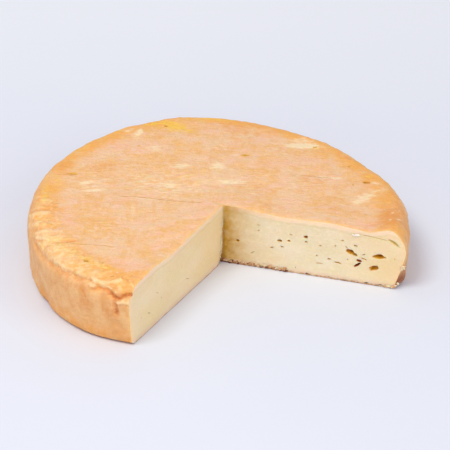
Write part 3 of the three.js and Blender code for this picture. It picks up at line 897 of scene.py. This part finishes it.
def paste_material():
    """The cut paste: cream in the middle, with painted shade and golden reflected light by the apex
    of the right-hand cut, painted light on the left-hand cut, a pinkish pale band under the top
    rind, the rind's own cut edge round the outside, and its foot along the ground with painted
    contact shade at the bottom."""
    shader = Shader("paste")
    wave = shader.times(shader.plus(shader.noise(5, seed=21, detail=4), -0.5), 2.6)
    depth = shader.plus(shader.attribute("depth"), shader.times(wave, 0.6))
    below = shader.plus(shader.attribute("below"), wave)
    foot = shader.plus(shader.axis(2), shader.times(wave, 0.5))
    line = shader.times(shader.band(below, 4.2, 2.9), shader.band(below, 1.8, 2.9))
    # painted shade and golden reflected light by the apex; below 0, painted light on the left-hand cut
    # and yellowing at the rim end
    _, shade_light_yellowing, _ = shader.channels("cut")
    patchy = shader.times(shader.band(shader.noise(4, seed=27, detail=4), 0.25, 0.75), 0.5)
    golden = shader.times(shade_light_yellowing, shader.plus(patchy, 0.75))
    colour = shader.patches(PASTE, PASTE_LAYERS)
    for mask, strength, tone in (
        (shade_light_yellowing, -1, PASTE_YELLOW_AND_LIGHT),
        (line, 0.32, PASTE_OLIVE),
        (shader.band(below, 3.2, 1.6), 0.85, BAND),
        (shader.band(depth, 3.6, 0.7), 0.55, RIND_INNER),
        (shader.band(depth, 0.7, 0.1), 0.6, RIND_EDGE),
        # painted shade and golden reflected light by the apex
        (golden, 1, PASTE_APEX_SHADE),
        (shader.band(foot, 3.4, 1.4), 0.65, FOOT_RIND),
        # painted contact shade along the ground
        (shader.band(foot, 0.7, 0.1), 0.6, FOOT_CONTACT_SHADE),
    ):
        colour = shader.layer(colour, mask, strength, tone)
    grain = shader.noise(0.9, seed=25, detail=5)
    drag = shader.noise(0.5, (5, 5, 1), seed=26)
    shader.bump(shader.plus(grain, shader.times(drag, 0.5)), 0.25)
    roughness = shader.plus(shader.times(grain, 0.3), 0.34)
    return shader.finish(colour, roughness, 0.75, (1.0, 0.68, 0.35), 3.0)


def hollow_material(name, shallow, middle, deep, middle_at, deep_at):
    """The inside of a hole: from the colour at its lip to the colour at its bottom, darker further in as
    painted shade.
    """
    shader = Shader(name)
    ragged = shader.plus(shader.noise(1.2, seed=31), -0.5)
    into = shader.plus(shader.attribute("into"), ragged)
    colour = shader.blend(shader.band(into, 0, middle_at), shallow, middle)
    colour = shader.blend(shader.band(into, middle_at, deep_at), colour, deep)
    gloss = shader.noise(0.8, seed=32)
    shader.bump(gloss, 0.2)
    roughness = shader.plus(shader.times(gloss, 0.3), 0.22)
    return shader.finish(colour, roughness, 0.35, (1.0, 0.55, 0.2), 1.5)


def flake_material():
    shader = Shader("torn_rind")
    ragged = shader.plus(shader.noise(0.9, seed=41), -0.5)
    shade = shader.plus(shader.attribute("shade"), ragged)
    colour = FLAKE_DARK
    for low, high, tone in ((0.1, 0.45, FLAKE_TAN), (0.45, 0.85, FLAKE_CREAM), (1.3, 1.5, FLAKE_WHITE)):
        colour = shader.blend(shader.band(shade, low, high), colour, tone)
    shader.bump(shader.noise(0.5, seed=42, detail=4), 0.15)
    return shader.finish(colour, 0.5, 0.4, (1.0, 0.55, 0.25), 1.5)


def inward(cut):
    """The level direction into the paste behind the right-hand or left-hand cut."""
    return unit(cut + 90 if cut == RIGHT_CUT else cut - 90)


def into_cut(x, y, cut):
    """How far points lie behind a cut's plane, in the paste."""
    across = inward(cut)
    return (x - APEX_X) * across[0] + (y - APEX_Y) * across[1]


def wall_point(cut, along, height, out=0.0):
    """A point of a cut wall, or that far out of it in the notch."""
    return Vector(APEX + along * unit(cut) - out * inward(cut) + [0, 0, height])


def hollow_cutter(name, centre, size, turns, seed, material, floor_share=1):
    """An uneven ball that will be cut out of the wheel, the lower half flattened to a share."""
    bm = bmesh.new()
    bmesh.ops.create_uvsphere(bm, u_segments=22, v_segments=14, radius=0.5)
    shift = Vector((seed * 3.7, seed * 1.9, seed * 2.3))
    for vertex in bm.verts:
        vertex.co *= 1 + EYE_UNEVENNESS * noise.noise(vertex.co * 2.6 + shift)
        if vertex.co.z < 0:
            vertex.co.z *= floor_share
        vertex.co = (turns @ (vertex.co * Vector(size)) + centre) * MM
    return mesh_of(bm, name, material)


def eye_cutter(eye, cut, seed, material):
    along, height, long, tall, deep, slant = eye
    turns = turned(cut, -math.radians(slant))
    centre = wall_point(cut, along, height)
    return hollow_cutter("eye", centre, (long, 2 * deep, tall), turns, seed, material, EYE_FLOOR)


def rind_height(x, y):
    """The height of the finished rind on the top, away from its wrinkles."""
    x, y = np.array([x], dtype=float), np.array([y], dtype=float)
    height = top_height(x, y)
    over = np.hypot(x, y) - rim_radius(direction_of(x, y)) + SHOULDER
    return float((height + rind_texture(np.stack([x, y, height], axis=-1), over))[0])


def nick_cutter(nick, seed, material):
    x, y, long, wide, deep, towards = nick
    centre = Vector((x, y, rind_height(x, y)))
    return hollow_cutter("nick", centre, (long, wide, 2 * deep), turned(towards), seed, material)


def prism_mesh(name, sections, material):
    """A closed mesh through a row of three-cornered sections."""
    numbers = np.arange(3 * len(sections)).reshape(-1, 3)
    faces = [numbers[0].tolist(), numbers[-1, ::-1].tolist()]
    faces += grid_faces(np.hstack([numbers, numbers[:, :1]]))
    mesh = closed_mesh(name, np.reshape(sections, (-1, 3)), faces)
    mesh.materials.append(material)
    return mesh


def score_cutter(half_width, depth, points, seed, material):
    """A V-shaped slit that follows a line of points on the top of the rind."""
    points = np.array(points, dtype=float)
    lengths = np.concatenate([[0], np.cumsum(np.hypot(*np.diff(points, axis=0).T))])
    steps = max(int(lengths[-1] / SCORE_STEP), 4)
    run = np.linspace(0, lengths[-1], steps + 1)
    x, y = (np.interp(run, lengths, points[:, k]) for k in (0, 1))
    sections = []
    for i in range(steps + 1):
        before, after = max(i - 1, 0), min(i + 1, steps)
        run_x, run_y = x[after] - x[before], y[after] - y[before]
        aside = np.array([-run_y, run_x, 0]) / math.hypot(run_x, run_y)
        wander = SCORE_WANDER * noise.noise(Vector((run[i] / 2.2, seed * 7.3, 0)))
        at = np.array([x[i], y[i], 0]) + aside * wander
        at[2] = rind_height(at[0], at[1])
        uneven = 0.75 + 0.6 * noise.noise(Vector((run[i] / 3.1, seed * 3.9, 5)))
        ends = min(1, 0.15 + min(i, steps - i) / 4)
        half = half_width * ends * (1 + SCORE_TOP / depth)
        mouth = at + [0, 0, SCORE_TOP]
        sections.append([mouth - aside * half, mouth + aside * half, at - [0, 0, depth * uneven * ends]])
    return prism_mesh("score", sections, material)


def overcut_cutter(material):
    """The thin gap that the right-hand cut leaves where the knife ran on past the apex."""
    along = unit(RIGHT_CUT + 180)
    aside = unit(RIGHT_CUT + 270) * OVERCUT_HALF
    sections = []
    for height in (-2, HEIGHT + 8):
        base = APEX + [0, 0, height]
        mouth = base - along * 0.6
        sections.append([mouth + aside, mouth - aside, base + along * OVERCUT_REACH])
    return prism_mesh("overcut", sections, material)


def chip_reach(height):
    """How far from the apex the left-hand cut's inner edge is broken away at a height."""
    heights, reaches = zip(*APEX_CHIP)
    return float(np.interp(height, heights, reaches))


def chip_cutter(material):
    """The broken inner edge of the left-hand cut, widening towards the foot."""
    along, behind = unit(LEFT_CUT), unit(RIGHT_CUT + 180)
    clear = -0.35 * inward(LEFT_CUT)
    sections = []
    for height in np.linspace(-1.5, APEX_CHIP[-1][0], CHIP_LEVELS):
        ragged = CHIP_RAGGED * noise.noise(Vector((height / 1.6, 4.2, 0)))
        reach = max(chip_reach(height) + ragged, APEX_CHIP[-1][1])
        base = APEX + [0, 0, height]
        mouth = base - (along + behind) * 0.5
        sections.append([mouth, base + along * reach + clear, base + behind * reach * 0.75])
    return prism_mesh("chip", sections, material)


def separate_batches(cutters):
    """The cutters in as few groups as keep the balls around those of one group apart."""
    batches = []
    for mesh in cutters:
        corners = np.array([v.co for v in mesh.vertices])
        middle = (corners.min(axis=0) + corners.max(axis=0)) / 2
        reach = np.linalg.norm(corners - middle, axis=1).max()
        for batch in batches:
            if all(np.linalg.norm(middle - m) > reach + r for _, m, r in batch):
                batch.append((mesh, middle, reach))
                break
        else:
            batches.append([(mesh, middle, reach)])
    return [[mesh for mesh, _, _ in batch] for batch in batches]


def join_meshes(name, meshes, materials):
    """One mesh of several, which keep their own materials."""
    bm = bmesh.new()
    for mesh in meshes:
        start = len(bm.faces)
        bm.from_mesh(mesh)
        bm.faces.ensure_lookup_table()
        for face in bm.faces[start:]:
            face.material_index = materials.index(mesh.materials[0])
    joined = mesh_of(bm, name)
    for material in materials:
        joined.materials.append(material)
    return joined


def cut_out(wheel, cutters, materials):
    for meshes in separate_batches(cutters):
        tool = link_object("cutter", join_meshes("cutter", meshes, materials))
        modifier = wheel.modifiers.new("cut", "BOOLEAN")
        modifier.operation = "DIFFERENCE"
        modifier.solver = "MANIFOLD"
        modifier.object = tool
        evaluated = wheel.evaluated_get(bpy.context.evaluated_depsgraph_get())
        result = bpy.data.meshes.new_from_object(evaluated)
        wheel.modifiers.clear()
        wheel.data = result
        bpy.data.objects.remove(tool)


def stroke_mask(x, y, strokes):
    """How strongly marks with soft edges cover points of the top, from 0 to 1."""
    mask = np.zeros_like(x)
    for at_x, at_y, long, wide, towards, strength in strokes:
        angle = math.radians(towards)
        along = (x - at_x) * math.cos(angle) + (y - at_y) * math.sin(angle)
        across = -(x - at_x) * math.sin(angle) + (y - at_y) * math.cos(angle)
        spread = (2 * along / long) ** 2 + (2 * across / wide) ** 2
        mask = np.maximum(mask, strength * np.exp(-0.9 * spread))
    return mask


def depth_below_rind(x, y, z):
    """How far points inside the wheel lie below its top, side and underside."""
    direction = direction_of(x, y)
    top = top_height(x, y)
    down = np.clip((BULGE_HEIGHT - z) / (BULGE_HEIGHT - FOOT), 0, 1)
    inset = rim_radius(direction) - foot_tuck(direction) * down**TUCK_CURVE - np.hypot(x, y)
    rise = top - BULGE_HEIGHT
    corner_out = np.clip((SHOULDER - inset) / SHOULDER, 0, None)
    corner_up = np.clip((z - BULGE_HEIGHT) / rise, 0, None)
    corner = (1 - np.hypot(corner_out, corner_up)) * (SHOULDER + rise) / 2
    upper = np.where((inset < SHOULDER) & (z > BULGE_HEIGHT), corner, np.minimum(inset, top - z))
    return np.minimum(upper, z * 1.6 + 0.2)


def distance_over_edge(x, y, z):
    """How far points lie over the top edge, in mm over the rind, and below 0 further in."""
    out = np.hypot(x, y) - rim_radius(direction_of(x, y)) + SHOULDER
    rise = (z - BULGE_HEIGHT) / (top_height(x, y) - BULGE_HEIGHT)
    lean = np.degrees(np.arctan2(rise, out / SHOULDER))
    over = np.where(out < 0, out, SHOULDER_ARC * (1 - np.clip(lean, 0, 90) / 90))
    return np.where(z < BULGE_HEIGHT, SHOULDER_ARC + BULGE_HEIGHT - z, over)


def add_values(mesh, name, values):
    layer = mesh.attributes.new(name, "FLOAT", "POINT")
    layer.data.foreach_set("value", np.asarray(values, dtype=np.float32))


def add_colours(mesh, name, red, green, blue):
    layer = mesh.attributes.new(name, "FLOAT_COLOR", "POINT")
    colours = np.stack([red, green, blue, np.ones_like(red)], axis=-1)
    layer.data.foreach_set("color", colours.astype(np.float32).ravel())


def cut_shade_light_yellowing(from_apex, z, on_right):
    """Painted shade and golden reflected light on the right-hand cut by the apex; below 0, yellowing at
    its rim end and painted light on the left-hand cut.
    """
    low = np.clip(1 - z / 27, 0, 1)
    apex_share = (from_apex / (APEX_SHADE_REACH + 3 * low)) ** 1.25
    right = APEX_SHADE * np.exp(-apex_share) * (0.85 + 0.3 * low)
    right -= RIM_YELLOWING * np.clip((from_apex - 55) / 25, 0, 1)
    left = -LEFT_PAINTED_LIGHT - LEFT_APEX_PAINTED_LIGHT * np.exp(-from_apex / LEFT_APEX_REACH)
    return np.where(on_right, right, left)


def paint_wheel(mesh):
    """Stores what the materials need to know about each point of the wheel."""
    places = np.empty(len(mesh.vertices) * 3)
    mesh.vertices.foreach_get("co", places)
    x, y, z = (places / MM).reshape(-1, 3).T
    direction = direction_of(x, y)
    over = distance_over_edge(x, y, z)
    below = top_height(x, y) - z
    to_right, to_left = into_cut(x, y, RIGHT_CUT), into_cut(x, y, LEFT_CUT)
    behind = np.maximum(to_right, to_left)
    add_values(mesh, "over", over)
    add_values(mesh, "depth", depth_below_rind(x, y, z))
    add_values(mesh, "below", np.maximum(below, 0))
    # how far in a hole a point lies, which the painted shade of its inside follows
    add_values(mesh, "into", np.where(below < 2.5, np.maximum(below, 0), np.abs(behind)))

    above = np.clip(1 - below / 6, 0, 1)
    tables = (CREAM_MARKS, YELLOW_MARKS, ROSE_MARKS, AMBER_MARKS)
    cream, yellow, rose, amber = (stroke_mask(x, y, strokes) * above for strokes in tables)
    crest, groove, red = fold_colours(direction, over)
    add_colours(mesh, "marks", cream, yellow, rose)
    add_colours(mesh, "folds", groove, crest, amber)

    # Red are some creases and a spot by the left-hand cut; at the pinched foot at the left it is painted
    # shadow under the pinch
    pinch_shadow = hump(turn(-147.5, direction), 6) * np.clip((5 - z) / 3, 0, 0.9)
    spot = np.exp(-((x + 37.9) ** 2 + (y + 85.9) ** 2 + (z - 27) ** 2) / 1.2)
    edge = np.exp(-np.maximum(behind, 0) / 1.6)
    from_apex = np.hypot(x - APEX_X, y - APEX_Y)
    # painted shade and light on the cut walls, and the yellowing at the rim end
    shade_light_yellowing = cut_shade_light_yellowing(from_apex, z, np.abs(to_right) < np.abs(to_left))
    add_colours(mesh, "cut", edge, shade_light_yellowing, np.maximum.reduce([red, pinch_shadow, spot]))

    # Painted shade on the foot under the overhang, where it stands in at the rim end of the right-hand
    # cut
    add_values(mesh, "corner", hump(turn(-19.5, direction), 9) * np.clip((14 - z) / 9, 0, 1))


def finish_mesh(mesh, sharp=40):
    for polygon in mesh.polygons:
        polygon.use_smooth = True
    mesh.set_sharp_from_angle(angle=math.radians(sharp))


def wheel_cutters(hollows):
    """Everything that is cut out of the wheel: holes in its walls and top, slits and breaks."""
    cutters = []
    for eyes, cut, first_seed, look in (
        (EYES, RIGHT_CUT, 1, "eye"),
        (GOUGES, RIGHT_CUT, 45, "gouge"),
        (LEFT_EYES, LEFT_CUT, 51, "gouge"),
        (FOOT_GAPS, RIGHT_CUT, 71, "foot_gap"),
        (RED_EYES, RIGHT_CUT, 41, "red_eye"),
    ):
        cutters += [eye_cutter(eye, cut, first_seed + i, hollows[look]) for i, eye in enumerate(eyes)]
    cutters += [nick_cutter(nick, 91 + i, hollows["rind_pit"]) for i, nick in enumerate(NICKS)]
    cutters += [score_cutter(*score, 111 + i, hollows["crack"]) for i, score in enumerate(SCORES)]
    return cutters + [overcut_cutter(hollows["eye"]), chip_cutter(hollows["broken_paste"])]


def make_wheel():
    rind, paste = rind_material(), paste_material()
    hollows = {name: hollow_material(name, *look) for name, look in HOLLOW_LOOKS.items()}
    materials = [rind, paste, *hollows.values()]
    wheel = link_object("cheese", wheel_mesh())
    for material in materials:
        wheel.data.materials.append(material)
    cut_out(wheel, wheel_cutters(hollows), materials)
    paint_wheel(wheel.data)
    finish_mesh(wheel.data)
    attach(wheel, "root")
    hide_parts("munster_cheese")


def foot_shreds(chance):
    """Shreds of rind at the foot of the right-hand cut, dark below and paler above."""
    for _ in range(FOOT_SHREDS):
        along = 0.8 + 33 * chance.random() ** 1.35
        size = 0.5 + 1.1 * chance.random() ** 1.5
        height = 0.35 + 1.5 * chance.random() ** 1.3
        out = 0.1 + 0.3 * chance.random()
        turns = turned(RIGHT_CUT + chance.normal(0, 12), chance.normal(0, 0.5))
        shade = np.clip(0.1 + 0.55 * height / 1.6 + chance.normal(0, 0.22), 0, 1)
        yield wall_point(RIGHT_CUT, along, height, out), (size * 1.5, 0.6, size * 0.7), turns, shade


def fine_shreds(chance):
    """Finer and flatter ones further along the same foot."""
    for _ in range(FINE_SHREDS):
        along = 30 + 56 * chance.random()
        size = 0.4 + 0.7 * chance.random() ** 2
        turns = turned(RIGHT_CUT, chance.normal(0, 0.15))
        shade = np.clip(0.56 + chance.normal(0, 0.17), 0, 1)
        height = 0.3 + 0.35 * chance.random()
        yield wall_point(RIGHT_CUT, along, height, 0.05), (size * 2.4, 0.5, size * 0.6), turns, shade


def apex_crumbs(chance):
    """Crumbs up the broken edge by the apex, dark ones in its hollow at the foot."""
    for _ in range(APEX_CRUMBS):
        height = 0.4 + 24 * chance.random()
        size = 0.35 + 0.75 * chance.random() ** 2
        turns = turned(180 * chance.random())
        share = chance.random()
        in_hollow = height < 3
        along = chip_reach(height) * (0.6 * share if in_hollow else 1) + 0.5 * share
        centre = wall_point(LEFT_CUT, along, height, -0.4 if in_hollow else 0.1)
        yield centre, (size, size, size * 1.2), turns, 0.15 if in_hollow else 0.95


def rim_shreds():
    for along, out, height, *size, tilt, shade in RIM_SHREDS:
        turns = turned(RIGHT_CUT, math.radians(tilt))
        yield wall_point(RIGHT_CUT, along, height, out), size, turns, shade


def add_flake(bm, layer, flake, seed):
    """An uneven shard of rind or paste, added to a bmesh with its shade."""
    centre, size, turns, shade = flake
    shift = Vector((seed * 2.7, seed * 4.1, seed * 1.3))
    for vertex in bmesh.ops.create_icosphere(bm, subdivisions=2, radius=0.5)["verts"]:
        place = vertex.co * (1 + 0.9 * noise.noise(vertex.co * 3.1 + shift))
        place = turns @ (place * Vector(size)) + centre
        place.z = max(place.z, 0.01)
        vertex.co = place * MM
        vertex[layer] = shade


def make_torn_rind():
    """Shreds of rind and paste: along the foot of the right-hand cut, down the apex, and a flap
    at the rim."""
    chance = np.random.default_rng(7)
    flakes = [*foot_shreds(chance), *fine_shreds(chance), *apex_crumbs(chance), *rim_shreds()]
    bm = bmesh.new()
    layer = bm.verts.layers.float.new("shade")
    for seed, flake in enumerate(flakes, 1):
        add_flake(bm, layer, flake, seed)
    mesh = mesh_of(bm, "torn_rind", flake_material())
    finish_mesh(mesh, 60)
    shreds = link_object("torn_rind", mesh)
    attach(shreds, "root")


def make_floor():
    size = 6.0
    corners = [(-size, -size, 0), (size, -size, 0), (size, size, 0), (-size, size, 0)]
    mesh = bpy.data.meshes.new("floor")
    mesh.from_pydata(corners, [], [(0, 1, 2, 3)])
    shader = Shader("floor")
    colour = shader.blend(shader.noise(140, seed=51), FLOOR, FLOOR_PALE)
    # painted light: paler further back, making up for the lamps' falloff
    colour = shader.blend(shader.band(shader.axis(1), 40, 420), colour, FLOOR_FAR_PAINTED_LIGHT)
    shader.fill(shader.surface, {"Base Color": colour, "Roughness": 0.75})
    mesh.materials.append(shader.material)
    link_object("floor", mesh)


def make_camera():
    """The photo's view: angles in degrees, distance in metres, target in millimetres."""
    elevation = math.radians(28.53)
    roll = math.radians(0.72)
    distance = 0.8
    target = Vector((3.93, 3.27, 15)) * MM
    pixels_per_radian = 1595.35
    image_size = 450
    data = bpy.data.cameras.new("camera")
    data.sensor_width = 36
    data.lens = pixels_per_radian / image_size * data.sensor_width
    camera = link_object("camera", data)
    ahead = Vector((0, math.cos(elevation), -math.sin(elevation)))
    camera.matrix_world = (
        Matrix.Translation(target - ahead * distance)
        @ Matrix.Rotation(math.pi / 2 - elevation, 4, "X")
        @ Matrix.Rotation(roll, 4, "Z")
    )
    bpy.context.scene.camera = camera


def area_light(name, place, size, watts, colour):
    """A round soft light at a place in metres that looks at the cheese."""
    data = bpy.data.lights.new(name, "AREA")
    data.shape = "DISK"
    data.size = size
    data.energy = watts
    data.color = colour
    lamp = link_object(name, data)
    lamp.location = place
    lamp.rotation_euler = (-Vector(place)).to_track_quat("-Z", "Y").to_euler()


def make_light():
    area_light("key", (-0.55, -0.52, 1.28), 0.7, 10.1, (1.0, 0.995, 0.95))
    area_light("front", (0.15, -1.35, 0.6), 0.9, 2.9, (1.0, 0.98, 0.96))
    area_light("right", (1.1, -0.75, 0.7), 0.9, 3.6, (1.0, 0.95, 0.82))
    world = bpy.data.worlds.new("world")
    world.use_nodes = True
    background = world.node_tree.nodes["Background"]
    background.inputs["Color"].default_value = (0.93, 0.905, 1.0, 1)
    background.inputs["Strength"].default_value = 0.615
    scene = bpy.context.scene
    scene.world = world
    scene.view_settings.view_transform = "Standard"
    scene.view_settings.look = "None"


make_wheel()
make_torn_rind()
make_floor()
make_camera()
make_light()
